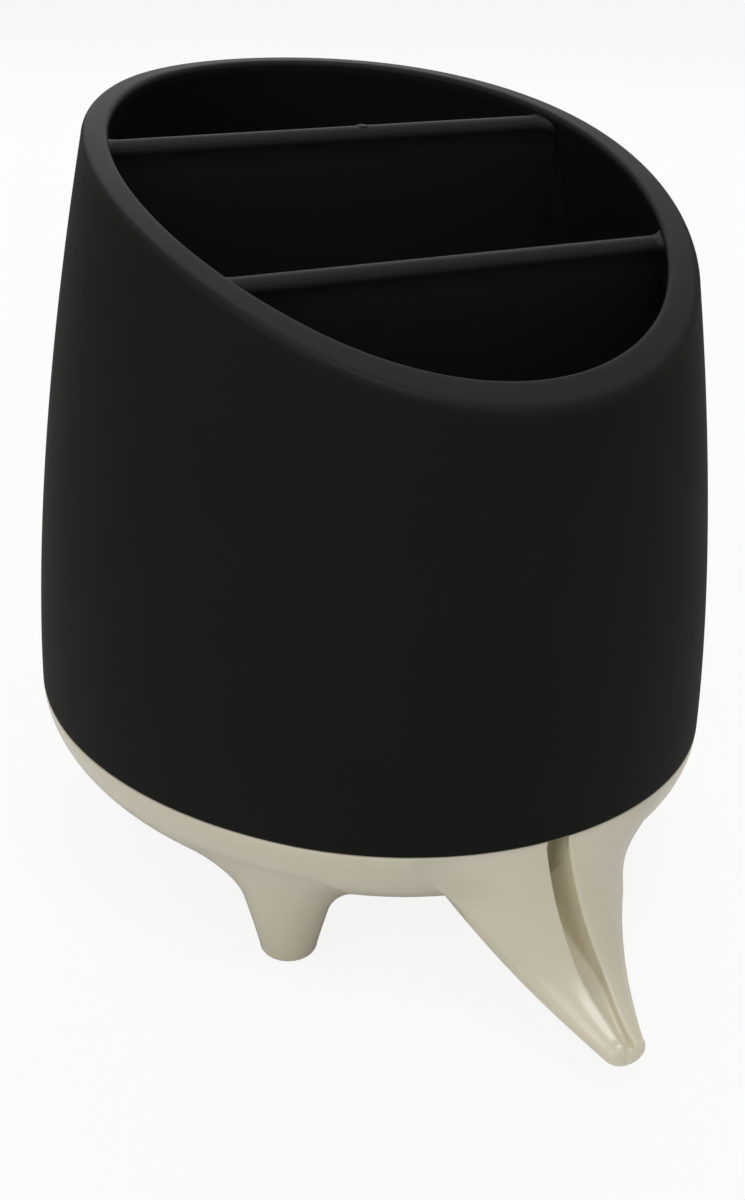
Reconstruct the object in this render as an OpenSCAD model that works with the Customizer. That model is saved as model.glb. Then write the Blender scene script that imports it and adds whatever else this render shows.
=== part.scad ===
// Cutlery drainer: an oval cup in three compartments that stands on a drip base with legs and a spout.
// The spout points along -Y. Z is up, in millimetres. The origin is on the table, in the middle of the
// whole footprint, so the cup's own axis stands a little behind it.

/* [Cup] */
// Width of the cup at its foot, across the spout line
cup_w = 134; // [112:1:140]
// Length of the cup at its foot, along the spout line
cup_l = 149; // [144:1:170]
// Wall thickness of the cup below the lip
cup_wall = 3; // [2.4:0.1:4]
// How far the cup narrows on each side by mid rim height
cup_taper = 12.3; // [6:0.1:16]
// Curve of the narrowing: 1 is a straight cone, more stays upright for longer
taper_curve = 1.7; // [1.2:0.1:2.6]

/* [Rim] */
// Height of the rim above the cup's foot, at mid length
rim_mid_h = 105; // [90:1:125]
// Rise of the rim from mid length to the back, and its fall to the front
rim_rise = 21.5; // [6:0.5:26]
// How far the rim bows below a straight slope at the front and the back
rim_bow = 9.5; // [2:0.5:12]
// Width of the lip
lip_w = 5.5; // [4.6:0.1:7]
// Height over which the wall thickens into the lip
lip_depth = 45; // [20:1:60]
// Rounding of the lip's outer edge
lip_outer_r = 1.4; // [0.8:0.1:2.4]
// Rounding of the lip's inner edge
lip_inner_r = 1; // [0.4:0.1:1.6]

/* [Dividers] */
// Thickness of a divider
divider_t = 3; // [2:0.1:4]
// Distance of the rear divider behind the cup's axis
rear_divider_y = 18; // [12:0.5:28]
// Distance of the front divider before the cup's axis
front_divider_y = 29; // [20:0.5:36]
// How far the dividers' top edges lie below the rim
crest_drop = 1.4; // [0.4:0.1:2]

/* [Strainer floor] */
// Thickness of the strainer floor
floor_t = 3; // [2:0.1:4]
// Height of the floor's underside above the cup's foot
floor_lift = 5; // [4:0.1:8]
// Depth of the groove in the cup's wall that holds the floor's edge
floor_groove = 0.8; // [0.5:0.1:1.2]
// Diameter of a drain hole
hole_d = 4; // [2.5:0.1:4.5]
// Distance between drain holes
hole_pitch = 12; // [8:0.5:18]
// Depth of the sockets in the floor that hold the dividers' feet
socket_d = 1; // [0.5:0.1:1.4]

/* [Drip base] */
// Height of the base's rim above the table
base_h = 36; // [36:1:50]
// Depth of the bowl from its rim to its belly
bowl_d = 18; // [15:0.5:21]
// How far the bowl's side curves in to its flat belly
bowl_in = 20; // [14:0.5:26]
// Fullness of the side's curve: 2 is an ellipse, less is closer to a cone
bowl_curve = 1.7; // [1.4:0.1:2]
// Thickness of the bowl's floor
bowl_floor = 2.6; // [2:0.1:3.4]
// Thickness of the spigot that locates the cup
spigot_t = 2; // [1.5:0.1:3]

/* [Spout] */
// How far the spout's tip reaches beyond the cup's front
spout_reach = 26; // [20:0.5:34]
// Drop of the spout's ridge from the rim to the tip
spout_drop = 26; // [24:0.5:29]
// Width of the spout where it leaves the bowl
spout_root_w = 45; // [34:0.5:50]
// Width of the spout's tip
spout_tip_w = 8; // [7.5:0.1:14]
// Height of the spout's tip
spout_tip_h = 5; // [4.4:0.1:7]
// Rounding of the spout's end
spout_tip_r = 1.2; // [0.4:0.1:1.6]
// Width of the drain channel
channel_w = 4.6; // [3:0.1:5.2]
// Depth of the drain channel at the tip
channel_d = 2.6; // [1.5:0.1:3]

/* [Legs] */
// Diameter of a foot
foot_d = 10.5; // [8:0.5:14]
// Diameter of a leg where it meets the belly
leg_top_d = 20; // [15:0.5:24]
// Rounding of a foot's edge
foot_r = 1.5; // [0.5:0.1:2.5]
// Distance of the legs from the cup's axis, across the spout line
leg_x = 36; // [26:0.5:42]
// Distance of the legs from the cup's axis, along the spout line
leg_y = 39; // [28:0.5:48]

/* [Fits] */
// Gap between the cup's wall and the base's spigot
spigot_fit = 0.4; // [0.3:0.05:0.6]
// Gap between the spigot's top and the strainer floor
spigot_gap = 0.4; // [0.3:0.05:0.8]
// Gap between the strainer floor and the groove that it snaps into
floor_fit = 0.15; // [0.1:0.05:0.3]
// Gap between a divider and the cup's wall, and between its foot and its socket
divider_fit = 0.15; // [0.1:0.05:0.3]

/* [Hidden] */
$fn = 48;

// Counts that set how fine the lofted surfaces are
columns = 72;
wall_rows = 12;
outer_lip_steps = 4;
inner_lip_steps = 3;
bowl_steps = 12;
spout_sections = 18;
spout_top_step = 10;
spout_keel_step = 20;
nose_steps = 3;
leg_steps = 8;
foot_step = 30;
crest_step = 20;
hole_sides = 24;

// The oval plan: two flat side arcs and two tighter end arcs that meet in a common tangent
half_w = cup_w / 2;
half_l = cup_l / 2;
end_share = 2 / 3;
arc_offset = (half_l - half_w) * end_share;
end_r = half_w - arc_offset;
end_c = half_l - end_r;
side_c = (end_c ^ 2 - arc_offset ^ 2) / (2 * arc_offset);
side_r = half_w + side_c;
join_angle = atan2(end_c, side_c);

// Heights in the row frame, and the place of the cup's axis in it
axis_y = spout_reach / 2;
seat_z = base_h;
floor_top = floor_lift + floor_t;
spigot_h = floor_lift - spigot_gap;
spigot_outer = cup_wall + spigot_fit;
spigot_inner = spigot_outer + spigot_t;
floor_inset = cup_wall - floor_groove + floor_fit;
leg_h = base_h - bowl_d;
tip_reach = half_l + spout_reach - spout_tip_r;
bowl_inside_d = bowl_d - bowl_floor;
root_sagitta = end_r - sqrt(end_r ^ 2 - (spout_root_w / 2) ^ 2);

// Shape constants of the lofted curves
leg_curve = 1.1;
leg_bury = 10;
hole_margin = 3;
drain_shift = -5;
tab_setback = 6;
spout_root_depth = 6;
ridge_start = 0.3;
ridge_lead = 0.2;
ridge_plunge = 0.69;
edge_lead = 0.03;
edge_plunge = 0.78;
edge_share = 0.52;
keel_bury = 0.6;
keel_lead = 0.31;
keel_plunge = 0.87;
channel_plunge = 0.66;
cut_over = 1;

black = [0.12, 0.12, 0.115];
lip_black = [0.17, 0.17, 0.17];
cream = [0.77, 0.74, 0.66];

// True where the outline's normal at angle a belongs to one of the two side arcs
function on_side(a) = abs(cos(a)) >= cos(join_angle);

// Point of the oval plan whose outward normal is at angle a, moved in by inset
function oval_point(a, inset) =
    on_side(a)
    ? [-sign(cos(a)) * side_c + (side_r - inset) * cos(a), (side_r - inset) * sin(a)]
    : [(end_r - inset) * cos(a), sign(sin(a)) * end_c + (end_r - inset) * sin(a)];

// Half width of the oval plan at distance y from its middle, moved in by inset
function oval_x(y, inset) =
    abs(y) <= (side_r - inset) * sin(join_angle)
    ? sqrt((side_r - inset) ^ 2 - y ^ 2) - side_c
    : sqrt((end_r - inset) ^ 2 - (abs(y) - end_c) ^ 2);

function oval_outline(inset) = [for (i = [0 : columns - 1]) oval_point(360 * i / columns, inset)];

// Height of the rim above the cup's foot at distance y behind the axis
function rim_z(y) = rim_mid_h + rim_rise * (y / half_l) - rim_bow * (y / half_l) ^ 2;

// How far the outside of the cup has drawn in at height z
function taper_at(z) = cup_taper * (max(z, 0) / rim_mid_h) ^ taper_curve;

// How much the wall has thickened towards the lip at distance y and height z
function lip_swell(y, z) = (lip_w - cup_wall) * max(0, 1 - (rim_z(y) - z) / lip_depth) ^ 2;

// Inset of the cup's inside wall on the column at angle a, at height z
function inner_inset(a, z) =
    let (straight = taper_at(z) + cup_wall)
    straight + lip_swell(oval_point(a, straight)[1], z);

// Rim height on the column at angle a, found by repeating the height that its own inset gives
function column_rim(a, z = rim_mid_h, rounds = 6) =
    rounds == 0 ? z : column_rim(a, rim_z(oval_point(a, taper_at(z))[1]), rounds - 1);

// Rim height of the same column on the inside of the lip
function column_inner_rim(a, z = rim_mid_h, rounds = 6) =
    rounds == 0 ? z : column_inner_rim(a, rim_z(oval_point(a, inner_inset(a, z))[1]), rounds - 1);

// A point of a quadratic curve from p to q that is drawn towards c
function curve(p, c, q, t) = (1 - t) ^ 2 * p + 2 * t * (1 - t) * c + t ^ 2 * q;

// Inset and height of the bowl's side from its rim down to its belly, for a bowl of the given depth
function bowl_side(depth) = [
    for (i = [0 : bowl_steps])
        let (a = 90 * i / bowl_steps, power = 2 / bowl_curve)
        [bowl_in * (1 - cos(a) ^ power), -depth * sin(a) ^ power]
];

// Sum of a list of points
function sum_of(points, i = 0) = i == len(points) - 1 ? points[i] : points[i] + sum_of(points, i + 1);

// Solid through rings of points, each drawn the same way round; closed rows run back to the first ring
module loft(rings, closed = false) {
    rows = len(rings);
    count = len(rings[0]);
    last = closed ? rows - 1 : rows - 2;
    sides = [
        for (i = [0 : last]) for (j = [0 : count - 1])
            let (
                next = (j + 1) % count,
                up = (i + 1) % rows,
                a = i * count + j,
                b = i * count + next,
                c = up * count + next,
                d = up * count + j
            )
            each [[a, c, b], [a, d, c]]
    ];
    middle = [for (ring = [rings[0], rings[rows - 1]]) sum_of(ring) / count];
    caps = [
        for (j = [0 : count - 1])
            let (next = (j + 1) % count, end = (rows - 1) * count)
            each [[rows * count, j, next], [rows * count + 1, end + next, end + j]]
    ];
    body = [for (ring = rings) each ring];
    polyhedron(closed ? body : concat(body, middle), closed ? sides : concat(sides, caps));
}

// Solid that fills an edge profile of inset and height points, from top to foot, swept round the oval plan
module oval_solid(edge) {
    loft([
        for (i = [len(edge) - 1 : -1 : 0])
            [for (xy = oval_outline(edge[i][0])) [xy[0], xy[1], edge[i][1]]]
    ]);
}

// One column of the shell as inset and height points: up the outside, over the lip, down the inside
function shell_column(a) =
    let (
        outer_top = column_rim(a) - lip_outer_r,
        lip_out = taper_at(outer_top),
        inner_top = column_inner_rim(a),
        lip_in = inner_inset(a, inner_top),
        inner_start = inner_top - lip_inner_r,
        groove_top = floor_top + floor_fit,
        groove_bottom = floor_lift - floor_fit,
        groove_inset = cup_wall - floor_groove
    )
    concat(
        [for (i = [0 : wall_rows]) let (z = outer_top * i / wall_rows) [taper_at(z), z]],
        [for (i = [1 : outer_lip_steps])
            let (turn = 90 * i / outer_lip_steps, inset = lip_out + lip_outer_r * (1 - cos(turn)))
            [inset, rim_z(oval_point(a, inset)[1]) - lip_outer_r * (1 - sin(turn))]],
        [for (i = [0 : inner_lip_steps])
            let (turn = 90 - 90 * i / inner_lip_steps, inset = lip_in - lip_inner_r * (1 - cos(turn)))
            [inset, rim_z(oval_point(a, inset)[1]) - lip_inner_r * (1 - sin(turn))]],
        [for (i = [1 : wall_rows])
            let (z = inner_start + (groove_top - inner_start) * i / wall_rows)
            [inner_inset(a, z), z]],
        [[groove_inset, groove_top], [groove_inset, groove_bottom]],
        [[cup_wall, groove_bottom], [cup_wall, 0]]
    );

// Places of the drain holes, in staggered rows that keep clear of the dividers and the edge
function drain_holes() =
    let (
        reach = floor(half_l / hole_pitch) + 1,
        clear = hole_d / 2 + hole_margin,
        edge = floor_inset + floor_groove + clear
    )
    [
        for (row = [-reach : reach]) for (i = [-reach : reach])
            let (
                x = (i + (abs(row) % 2) / 2) * hole_pitch,
                y = row * hole_pitch + drain_shift
            )
            if (abs(y - rear_divider_y) > divider_t / 2 + clear
                && abs(y + front_divider_y) > divider_t / 2 + clear
                && abs(y) < half_l - edge
                && abs(x) < oval_x(y, edge))
            [x, y]
    ];

// Cup of one wall, open at top and foot, with a sloping rounded lip and a groove for the strainer floor
module cup_shell() {
    angles = [for (i = [0 : columns - 1]) 360 * i / columns];
    profiles = [for (a = angles) shell_column(a)];
    color(black) translate([0, axis_y, seat_z])
        loft([
            for (row = [0 : len(profiles[0]) - 1]) [
                for (i = [0 : columns - 1])
                    let (p = profiles[i][row], xy = oval_point(angles[i], p[0]))
                    [xy[0], xy[1], p[1]]
            ]
        ], closed = true);
}

// Half length of the divider at distance y, where the cup's wall stops it at height z
function divider_half(y, z) =
    oval_x(abs(y) + divider_t / 2, taper_at(z) + cup_wall + lip_swell(y - divider_t / 2, z)) - divider_fit;

// Upright panel across the cup at distance y, with a round top edge and a tab that stands in the floor
module divider(y) {
    crest = rim_z(y) - crest_drop;
    tab = divider_half(y, floor_top) - tab_setback;
    foot_z = floor_top - socket_d + divider_fit;
    right = [
        for (i = [0 : wall_rows])
            let (z = floor_top + (crest - floor_top) * i / wall_rows)
            [divider_half(y, z), z]
    ];
    left = [for (i = [wall_rows : -1 : 0]) [-right[i][0], right[i][1]]];
    foot = [[-tab, floor_top], [-tab, foot_z], [tab, foot_z], [tab, floor_top]];
    section = concat(
        [[-divider_t / 2, 0], [divider_t / 2, 0]],
        [for (turn = [0 : crest_step : 180])
            [cos(turn) * divider_t / 2, crest + (sin(turn) - 1) * divider_t / 2]]
    );
    color(lip_black) translate([0, axis_y + y, seat_z])
        intersection() {
            rotate([90, 0, 0]) linear_extrude(2 * divider_t, center = true)
                polygon(concat(foot, right, left));
            rotate([90, 0, 90]) linear_extrude(cup_w, center = true) polygon(section);
        }
}

module rear_divider() {
    divider(rear_divider_y);
}

module front_divider() {
    divider(-front_divider_y);
}

// Perforated plate whose edge snaps into the cup's groove, with a socket for each divider's tab
module strainer_floor() {
    color(black) translate([0, axis_y, seat_z + floor_lift])
        difference() {
            linear_extrude(floor_t) difference() {
                polygon(oval_outline(floor_inset));
                for (p = drain_holes()) translate(p) circle(d = hole_d, $fn = hole_sides);
            }
            for (y = [rear_divider_y, -front_divider_y]) {
                socket = divider_half(y, floor_top) - tab_setback + divider_fit;
                socket_w = divider_t + 2 * divider_fit;
                translate([-socket, y - socket_w / 2, floor_t - socket_d])
                    cube([2 * socket, socket_w, socket_d + cut_over]);
            }
        }
}

// Rails of the spout as reach from the cup's axis and height from the base's rim, at share t of its length
function ridge_rail(t) = curve(
    [half_l, -ridge_start],
    [half_l + ridge_lead * spout_reach, -ridge_plunge * spout_drop],
    [tip_reach, -spout_drop], t);
function edge_rail(t) = curve(
    [half_l - root_sagitta, -ridge_start],
    [half_l - root_sagitta + edge_lead * spout_reach, -edge_plunge * spout_drop],
    [tip_reach, -spout_drop - edge_share * spout_tip_h], t);
function keel_rail(t) = curve(
    [half_l - bowl_in, keel_bury - bowl_d],
    [half_l + keel_lead * spout_reach, -keel_plunge * spout_drop],
    [tip_reach, -spout_drop - spout_tip_h], t);
function channel_rail(t) = curve(
    [half_l - bowl_in - spigot_inner, -bowl_inside_d],
    [half_l + ridge_lead * spout_reach, -channel_plunge * spout_drop],
    [tip_reach, -spout_drop - channel_d], t);
function spout_half(t) = (spout_root_w + (spout_tip_w - spout_root_w) * t) / 2;

// One ring of the spout: an arch from edge to edge over the ridge, closed below by the keel. The arch
// starts out as flat as the bowl's own front and ends as a half ellipse at the tip.
function spout_ring(t) =
    let (
        ridge = ridge_rail(t),
        edge = edge_rail(t),
        keel = keel_rail(t),
        half = spout_half(t),
        flat = 2 - t
    )
    [for (p = concat(
        [for (a = [90 : -spout_top_step : -90])
            concat(half * sin(a), edge + (ridge - edge) * cos(a) ^ flat)],
        [for (a = [spout_keel_step - 90 : spout_keel_step : 90 - spout_keel_step])
            concat(half * sin(a), edge + (keel - edge) * cos(a))]
    )) [p[0], -p[1], p[2]]];

// Spout that flares out of the bowl's front and narrows to a rounded tip
module spout_body() {
    rings = [for (i = [0 : spout_sections]) spout_ring(i / spout_sections)];
    root = [for (p = rings[0]) p + [0, spout_root_depth, 0]];
    tip = rings[spout_sections];
    middle = [0, -tip_reach, -spout_drop - spout_tip_h / 2];
    nose = [
        for (i = [1 : nose_steps])
            let (turn = 90 * i / nose_steps, shrink = 1 - 2 * spout_tip_r / spout_tip_w * (1 - cos(turn)))
            [for (p = tip) middle + (p - middle) * shrink - [0, spout_tip_r * sin(turn), 0]]
    ];
    loft(concat([root], rings, nose));
}

// Drain channel that leaves the bowl's floor, passes through the wall and runs along the spout's ridge
module channel_cut() {
    end = tip_reach + spout_tip_r + cut_over;
    floor_line = [for (i = [0 : spout_sections]) channel_rail(i / spout_sections)];
    above = spigot_h + cut_over;
    end_z = floor_line[spout_sections][1];
    outline = concat(floor_line, [[end, end_z], [end, above], [floor_line[0][0], above]]);
    rotate([90, 0, -90]) linear_extrude(channel_w, center = true) polygon(outline);
}

// Radius of a leg at height z above the table
function leg_radius(z) = (foot_d + (leg_top_d - foot_d) * (z / leg_h) ^ leg_curve) / 2;

// Leg with a rounded foot that flares into the belly
module leg() {
    corner = leg_radius(foot_r) - foot_r;
    rotate_extrude() polygon(concat(
        [[0, 0]],
        [for (a = [-90 : foot_step : 0]) [corner + foot_r * cos(a), foot_r + foot_r * sin(a)]],
        [for (i = [1 : leg_steps])
            let (z = foot_r + (leg_h + leg_bury - foot_r) * i / leg_steps)
            [leg_radius(z), z]],
        [[0, leg_h + leg_bury]]
    ));
}

// One moulding: drip bowl with a spigot for the cup, four legs and the grooved spout
module drip_base() {
    outside = concat([[spigot_outer, spigot_h], [spigot_outer, 0]], bowl_side(bowl_d));
    hollow = [for (p = bowl_side(bowl_inside_d)) [p[0] + spigot_inner, p[1]]];
    color(cream) translate([0, axis_y, seat_z])
        difference() {
            union() {
                oval_solid(outside);
                spout_body();
                for (x = [-leg_x, leg_x]) for (y = [-leg_y, leg_y]) translate([x, y, -seat_z]) leg();
            }
            oval_solid(concat([[spigot_inner, spigot_h + cut_over]], hollow));
            channel_cut();
        }
}

cup_shell();
rear_divider();
front_divider();
strainer_floor();
drip_base();
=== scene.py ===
"""Looks of the cutlery drainer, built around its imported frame.

Shapes are worked out in millimetres in the cup's own frame: x across the spout line, y along it with the
spout at -y, and z up from the rim of the drip base. Shell.piece() carries them into the row frame in metres.
"""

import logging
import math
from collections.abc import Callable
from dataclasses import dataclass
from enum import Enum

import bmesh
import bpy
import numpy as np
from mathutils import Matrix, Vector


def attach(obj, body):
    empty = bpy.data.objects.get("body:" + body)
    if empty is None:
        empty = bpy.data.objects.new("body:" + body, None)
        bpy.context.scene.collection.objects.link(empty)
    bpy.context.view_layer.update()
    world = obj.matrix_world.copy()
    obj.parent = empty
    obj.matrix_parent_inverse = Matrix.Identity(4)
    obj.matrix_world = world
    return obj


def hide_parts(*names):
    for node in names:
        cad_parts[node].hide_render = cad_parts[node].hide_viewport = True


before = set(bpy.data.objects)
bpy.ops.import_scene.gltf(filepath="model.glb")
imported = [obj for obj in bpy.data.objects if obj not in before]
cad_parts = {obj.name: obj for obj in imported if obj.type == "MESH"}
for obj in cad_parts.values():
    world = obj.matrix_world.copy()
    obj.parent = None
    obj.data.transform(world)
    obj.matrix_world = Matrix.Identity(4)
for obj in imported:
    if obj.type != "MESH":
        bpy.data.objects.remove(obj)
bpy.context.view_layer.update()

Array = np.ndarray
Points = tuple[Array, Array, Array]
Ring = tuple[Array, Array, Array, Array, Array]
Triple = tuple[float, float, float]
Rail = tuple[tuple[float, float], tuple[float, float], tuple[float, float]]
Piece = bpy.types.Object
Tree, Node, Socket = bpy.types.NodeTree, bpy.types.Node, bpy.types.NodeSocket
Given = Socket | float | Triple | tuple[float, float, float, float]
Inputs = dict[str | int, Given]
LOG = logging.getLogger("drainer")

MM = 0.001
AXIS_Y = 13.0  # the cup's axis, behind the middle of the footprint
SEAT_Z = 36.0  # rim of the drip base, above the table
WELD = 1e-6
CREASE = math.radians(38)
QUARTER = math.pi / 2


class Body(Enum):
    """Bodies of the frame that pieces ride on."""

    BASE = "base"
    CUP = "cup"


class Slot(Enum):
    """Material slots of the record."""

    CUP = "cup_black"
    DIVIDER = "divider_black"
    FLOOR = "floor_black"
    BASE = "base_cream"


def steps(count: int, closed: bool = True) -> Array:
    """Evenly spaced shares from 0 to 1, or to just before 1 unless closed, of shape (count, 1)."""
    return np.linspace(0, 1, count, endpoint=closed)[:, None]


def directions(count: int) -> Array:
    """Evenly spaced directions of a full turn, of shape (1, count)."""
    return np.linspace(0, 2 * math.pi, count, endpoint=False)[None, :]


def smooth(share: Array) -> Array:
    """Smooth step: three times the square of a share, held between 0 and 1, less twice its cube."""
    share = np.clip(share, 0, 1)
    return share**2 * (3 - 2 * share)


def bend(start: Array, lead: Array, end: Array, share: Array) -> Array:
    """Quadratic curve that leaves start towards lead and comes from there to end, at a share of its way."""
    return (1 - share) ** 2 * start + 2 * share * (1 - share) * lead + share**2 * end


def stacked(blocks: list[Array], columns: int) -> Array:
    """Blocks of rows one below the other, each spread over the columns."""
    return np.concatenate([np.broadcast_to(block, (len(block), columns)) for block in blocks])


def mix(start: Array | float, end: Array | float, share: Array) -> Array:
    """Value between start and end by a share."""
    return start + (end - start) * share


def quarter(rows: int) -> tuple[Array, Array]:
    """Quarter circle in rows: 1 less the cosine and 1 less the sine of an even turn."""
    turn = steps(rows) * QUARTER
    return 1 - np.cos(turn), 1 - np.sin(turn)


def feed(tree: Tree, node: Node, inputs: Inputs) -> Node:
    """Feeds inputs of a node.

    Args:
        tree: node tree of the node.
        node: node to feed.
        inputs: a socket to link or a value to set, by the input's name or number.

    Returns:
        The node.
    """
    for label, given in inputs.items():
        if isinstance(given, Socket):
            tree.links.new(given, node.inputs[label])
        else:
            node.inputs[label].default_value = given
    return node


def add_node(tree: Tree, kind: str, inputs: Inputs | None = None, **settings: object) -> Node:
    """Adds a shader node.

    Args:
        tree: node tree to add to.
        kind: kind of node.
        inputs: what its inputs get.
        settings: properties of the node, set before its inputs.

    Returns:
        The node.
    """
    node = tree.nodes.new("ShaderNode" + kind)
    for label, value in settings.items():
        setattr(node, label, value)
    return feed(tree, node, inputs or {})


def reckon(tree: Tree, operation: str, first: Given, second: Given = 0.0) -> Socket:
    """Adds a Math node on two sockets or numbers, and returns the socket of its result."""
    return add_node(tree, "Math", {0: first, 1: second}, operation=operation).outputs["Value"]


def blend(tree: Tree, share: Socket, first: Triple, second: Triple) -> Socket:
    """Mixes two colours by the share of the second, and returns the socket of the result."""
    inputs = {"Factor": share, "A": (*first, 1.0), "B": (*second, 1.0)}
    return add_node(tree, "Mix", inputs, data_type="RGBA").outputs["Result"]


class Shell:
    """Grids and polygons that are gathered, welded together and made one mesh object."""

    def __init__(self) -> None:
        """Starts with no points and no faces."""
        self.points: list[Array] = []
        self.tones: list[Array] = []
        self.faces: list[list[int]] = []
        self.count = 0

    def take(self, points: Array, tone: Array) -> int:
        """Keeps points for the mesh.

        Args:
            points: places, of shape (n, 3).
            tone: share of the finish's second tone at each.

        Returns:
            Number of the first point.
        """
        first = self.count
        self.points.append(points)
        self.tones.append(tone)
        self.count += len(points)
        return first

    def grid(self, surface: Points, wrap_rows: bool = False, wrap_columns: bool = False,
             tone: Array | float = 0.0) -> None:
        """Adds a grid of points with four-sided faces between neighbours.

        Args:
            surface: x, y and z, each broadcast to (rows, columns).
            wrap_rows: whether the last row joins the first.
            wrap_columns: whether the last column joins the first.
            tone: share of the finish's second tone at each point.
        """
        x, y, z, tone = np.broadcast_arrays(*surface, tone)
        rows, columns = x.shape
        first = self.take(np.stack([x, y, z], -1).reshape(-1, 3), tone.reshape(-1))
        number = first + np.arange(rows * columns).reshape(rows, columns)
        if wrap_rows:
            number = np.vstack([number, number[:1]])
        if wrap_columns:
            number = np.hstack([number, number[:, :1]])
        corners = [number[:-1, :-1], number[:-1, 1:], number[1:, 1:], number[1:, :-1]]
        self.faces.extend(np.stack(corners, -1).reshape(-1, 4).tolist())

    def polygon(self, points: Array, tone: float = 0.0) -> None:
        """Adds one flat face through points of shape (n, 3)."""
        first = self.take(points, np.full(len(points), tone))
        self.faces.append(list(range(first, first + len(points))))

    def piece(self, name: str) -> Piece:
        """Makes the mesh object: places, welds, turns the faces outwards and shades it smooth.

        Args:
            name: name of the piece.

        Returns:
            The new object, at the origin.
        """
        placed = (np.concatenate(self.points) + [0.0, AXIS_Y, SEAT_Z]) * MM
        mesh = bpy.data.meshes.new(name)
        mesh.from_pydata(placed.tolist(), [], self.faces)
        tone = mesh.attributes.new("tone", "FLOAT", "POINT")
        tone.data.foreach_set("value", np.concatenate(self.tones).astype(np.float32))
        work = bmesh.new()
        work.from_mesh(mesh)
        bmesh.ops.remove_doubles(work, verts=work.verts, dist=WELD)
        bmesh.ops.dissolve_degenerate(work, edges=work.edges, dist=WELD)
        bmesh.ops.recalc_face_normals(work, faces=work.faces)
        work.to_mesh(mesh)
        work.free()
        mesh.shade_smooth()
        mesh.set_sharp_from_angle(angle=CREASE)
        piece = bpy.data.objects.new(name, mesh)
        bpy.context.scene.collection.objects.link(piece)
        return piece


@dataclass(frozen=True)
class Oval:
    """Plan of the cup: two flat side arcs and two tighter end arcs that meet in a common tangent."""

    end_r: float = 62.0
    end_c: float = 12.5
    side_c: float = 13.125
    side_r: float = 80.125

    def point(self, angle: Array, inset: Array) -> tuple[Array, Array]:
        """Points of the plan by the direction of their outward normal.

        A side arc has its centre at -+side_c on x and radius side_r - inset. An end arc has its centre at
        +-end_c on y and radius end_r - inset.

        Args:
            angle: direction of the normal, in radians.
            inset: how far the point is moved in along it.

        Returns:
            x and y.
        """
        across, along = np.cos(angle), np.sin(angle)
        side = np.abs(across) >= self.side_c / math.hypot(self.side_c, self.end_c)
        side_reach, end_reach = self.side_r - inset, self.end_r - inset
        x = np.where(side, side_reach * across - np.sign(across) * self.side_c, end_reach * across)
        y = np.where(side, side_reach * along, end_reach * along + np.sign(along) * self.end_c)
        return x, y

    def inset(self, x: Array | float, y: Array | float) -> Array:
        """How far points lie inside the plan: the arc's radius less the distance from its centre.

        Args:
            x: places across.
            y: places along.

        Returns:
            Insets, below zero outside the plan.
        """
        wide, long = np.abs(x), np.abs(y)
        side = long * self.side_c <= (wide + self.side_c) * self.end_c
        from_side = self.side_r - np.hypot(wide + self.side_c, long)
        from_end = self.end_r - np.hypot(wide, long - self.end_c)
        return np.where(side, from_side, from_end)

    def half_width(self, y: float, inset: Array) -> Array:
        """Half width of the plan on its side arc or its end arc, by the circle's equation.

        Args:
            y: place along.
            inset: how far the plan is moved in.

        Returns:
            Half widths of the same shape as inset.
        """
        slope = self.end_c / math.hypot(self.side_c, self.end_c)
        side_reach, end_reach = self.side_r - inset, self.end_r - inset
        on_side = np.sqrt(np.maximum(side_reach**2 - y**2, 0)) - self.side_c
        on_end = np.sqrt(np.maximum(end_reach**2 - (abs(y) - self.end_c) ** 2, 0))
        return np.where(abs(y) <= side_reach * slope, on_side, on_end)


@dataclass(frozen=True)
class CupForm:
    """Curves that the cup's wall and its dividers share."""

    oval: Oval = Oval()
    half_length: float = 74.5
    wall: float = 3.0
    taper: float = 12.3
    taper_curve: float = 1.7
    rim_mid: float = 105.0
    rim_rise: float = 21.5
    rim_bow: float = 9.5
    lip_width: float = 5.0
    lip_lean: float = 0.9
    lip_depth: float = 45.0
    rounds: int = 8

    def rim(self, y: Array | float) -> Array:
        """Height of the rim at y: a slope up to the back that bows down at both ends."""
        share = y / self.half_length
        return self.rim_mid + self.rim_rise * share - self.rim_bow * share**2

    def drawn_in(self, z: Array) -> Array:
        """How far the outside has drawn in at height z, a power of the height."""
        return self.taper * (np.maximum(z, 0) / self.rim_mid) ** self.taper_curve

    def inside(self, y: Array | float, z: Array) -> Array:
        """Inset of the inside wall, which gets thicker by a square towards the lip, widest at the front.

        Args:
            y: place along.
            z: height.

        Returns:
            Inset from the plan.
        """
        near_lip = np.maximum(0, 1 - (self.rim(y) - z) / self.lip_depth)
        lip = self.lip_width - self.lip_lean * y / self.half_length
        return self.drawn_in(z) + self.wall + (lip - self.wall) * near_lip**2

    def inside_on(self, angle: Array, z: Array) -> Array:
        """Inset of the inside wall on the column at angle, at height z."""
        _, y = self.oval.point(angle, self.drawn_in(z) + self.wall)
        return self.inside(y, z)

    def rim_on(self, angle: Array, inset: Callable[[Array], Array]) -> Array:
        """Rim height on one side of each column, repeated from the height that its own inset gives.

        Args:
            angle: direction of each column.
            inset: inset of that side at a height.

        Returns:
            Heights of the same shape as angle.
        """
        z = np.full_like(angle, self.rim_mid)
        for _ in range(self.rounds):
            z = self.rim(self.oval.point(angle, inset(z))[1])
        return z


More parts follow.
